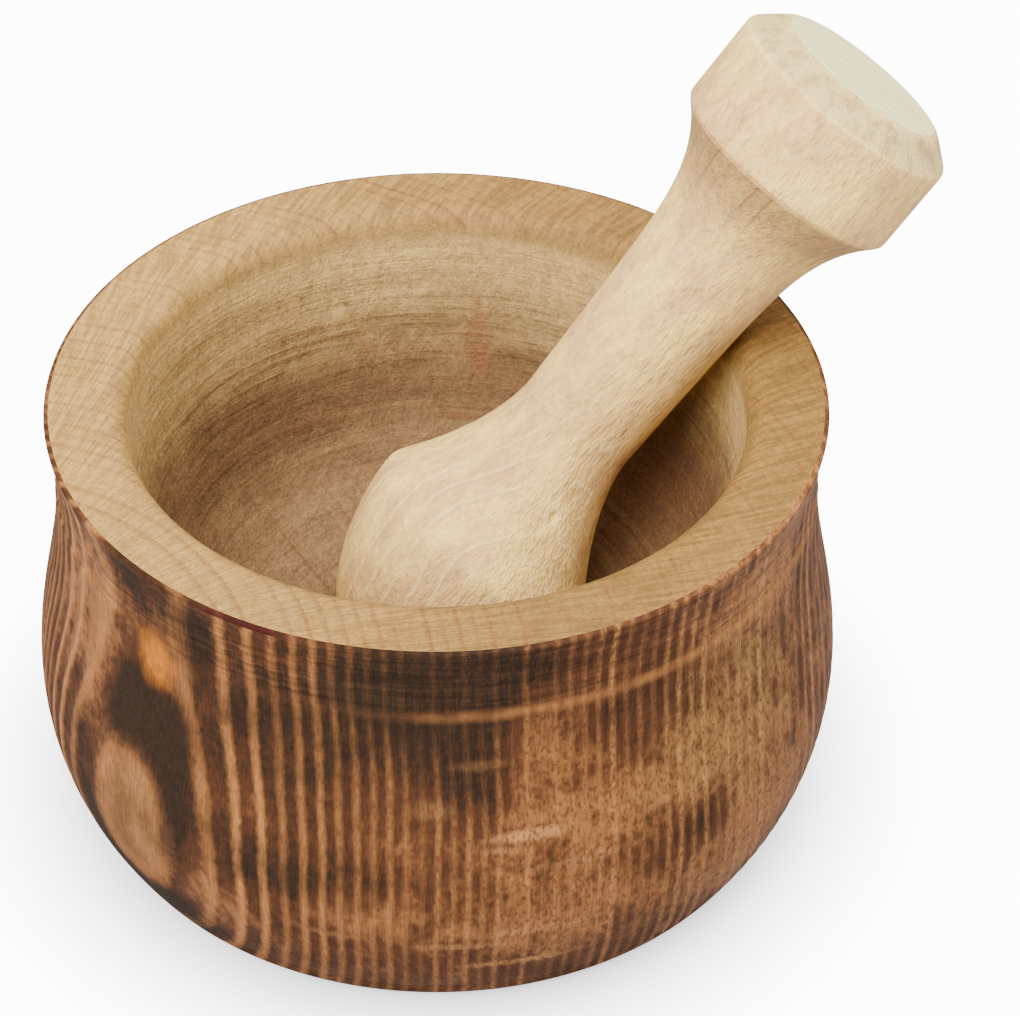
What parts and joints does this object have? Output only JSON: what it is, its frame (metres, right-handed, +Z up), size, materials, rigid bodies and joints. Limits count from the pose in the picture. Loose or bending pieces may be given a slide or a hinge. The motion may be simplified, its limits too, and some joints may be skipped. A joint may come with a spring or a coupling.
{
  "type": "mortar and pestle",
  "caption": "Turned wooden mortar with a scorched belly, flat rim and deep round bowl, and a loose knob-ended wooden pestle leaning in it.",
  "frame": {"origin": "middle of the mortar's flat foot", "axes": "+Z up the mortar's turning axis; the pestle leans towards +X"},
  "size_m": [0.1443, 0.1272, 0.1251],
  "materials": {
    "scorched_wood": "turned and unsealed; outside scorched and brushed with the grain, rim and bowl bare",
    "pale_wood": "bare, sanded, slightly fuzzy, matte"
  },
  "bodies": {
    "mortar": {"mortar": "scorched_wood"},
    "pestle": {"pestle": "pale_wood"}
  },
  "joints": [
    {"name": "pestle_lift", "type": "slide", "parent": "mortar", "child": "pestle", "axis": [0, 0, 1], "range_m": [0, 0.12]}
  ]
}
